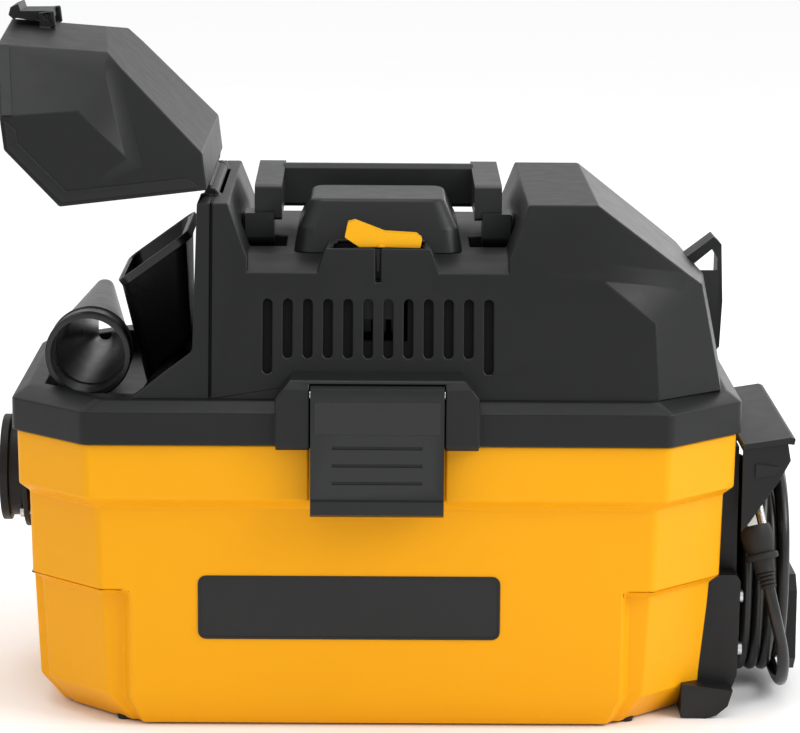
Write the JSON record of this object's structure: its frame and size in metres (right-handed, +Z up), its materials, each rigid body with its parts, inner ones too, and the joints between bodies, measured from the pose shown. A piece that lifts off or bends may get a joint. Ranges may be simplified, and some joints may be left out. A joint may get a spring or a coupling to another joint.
{
  "type": "shop vacuum",
  "caption": "Portable wet and dry shop vacuum: a faceted tank with a latched motor head, swing-up handle, accessory bin under a hinged lid and a wound mains cord.",
  "frame": {"origin": "on the floor under the middle of the tank, on the pad under the tank's floor", "axes": "+X towards the cord bracket end, -Y the front with the switch, +Z up"},
  "size_m": [0.5085, 0.319, 0.4344],
  "materials": {
    "yellow_shell": "moulded yellow polypropylene, fine texture",
    "yellow_switch": "moulded yellow, satin",
    "black_shell": "moulded black, fine spark texture",
    "black_grip": "moulded black, satin",
    "inner_plastic": "moulded dark grey",
    "tool_plastic": "moulded black, satin",
    "rubber": "flexible black",
    "steel": "zinc plated",
    "nickel": "nickel plated",
    "lamination": "stacked steel sheet with varnish",
    "filter_paper": "pleated filter paper",
    "foam": "open-cell foam",
    "float_plastic": "hollow moulded ball"
  },
  "bodies": {
    "tank": {"tank_shell": "yellow_shell", "tank_feet": "rubber", "inlet_port": "black_shell", "inlet_deflector": "black_shell", "port_screws": "steel", "cord_bracket": "black_shell", "cord_guard": "black_shell", "bracket_screws": "steel", "cord_coil": "rubber", "cord_lead": "rubber", "cord_tail": "rubber", "plug_body": "rubber", "plug_blades": "nickel"},
    "head": {"head_base": "black_shell", "strain_relief": "rubber", "rim_gasket": "rubber", "motor_cover": "black_shell", "centre_cover": "black_grip", "switch_body": "inner_plastic", "hose_hook": "black_shell", "lid_hinge_pin": "steel", "latch_pins": "steel", "fan_housing": "inner_plastic", "motor_housing": "steel", "stator": "lamination", "lower_bearing": "steel", "upper_bearing": "steel", "filter_cage": "inner_plastic", "cartridge_filter": "filter_paper", "filter_retainer": "inner_plastic", "crevice_tool": "tool_plastic", "utility_nozzle": "tool_plastic", "exhaust_foam": "foam", "cover_screws": "steel"},
    "rotor": {"motor_shaft": "steel", "armature": "lamination", "impeller": "inner_plastic"},
    "float": {"float_ball": "float_plastic"},
    "rocker": {"switch_rocker": "yellow_switch"},
    "handle": {"carry_handle": "black_grip"},
    "lid": {"accessory_lid": "black_shell"},
    "clasp": {"lid_clasp": "black_shell"},
    "latch_front": {"front_latch": "black_grip"},
    "latch_rear": {"rear_latch": "black_grip"}
  },
  "joints": [
    {"name": "head_lift", "type": "slide", "parent": "tank", "child": "head", "axis": [0, 0, 1], "range_m": [0, 0.16]},
    {"name": "rotor_spin", "type": "hinge", "parent": "head", "child": "rotor", "pos_m": [0, 0, 0.2], "axis": [0, 0, 1], "continuous": true},
    {"name": "float_rise", "type": "slide", "parent": "head", "child": "float", "axis": [0, 0, 1], "range_m": [0, 0.058]},
    {"name": "switch_rock", "type": "hinge", "parent": "head", "child": "rocker", "pos_m": [0.002, -0.106, 0.296], "axis": [0, 1, 0], "range_deg": [-24, 0]},
    {"name": "handle_swing", "type": "hinge", "parent": "head", "child": "handle", "pos_m": [0, -0.036, 0.297], "axis": [1, 0, 0], "range_deg": [0, 85]},
    {"name": "lid_hinge", "type": "hinge", "parent": "head", "child": "lid", "pos_m": [-0.1025, 0, 0.322], "axis": [0, 1, 0], "range_deg": [-83, 0]},
    {"name": "clasp_swing", "type": "hinge", "parent": "lid", "child": "clasp", "pos_m": [-0.20708, 0, 0.42704], "axis": [0, 1, 0], "range_deg": [0, 60]},
    {"name": "front_latch_swing", "type": "hinge", "parent": "head", "child": "latch_front", "pos_m": [0, -0.152, 0.213], "axis": [-1, 0, 0], "range_deg": [0, 75]},
    {"name": "rear_latch_swing", "type": "hinge", "parent": "head", "child": "latch_rear", "pos_m": [0, 0.152, 0.213], "axis": [1, 0, 0], "range_deg": [0, 75]}
  ]
}
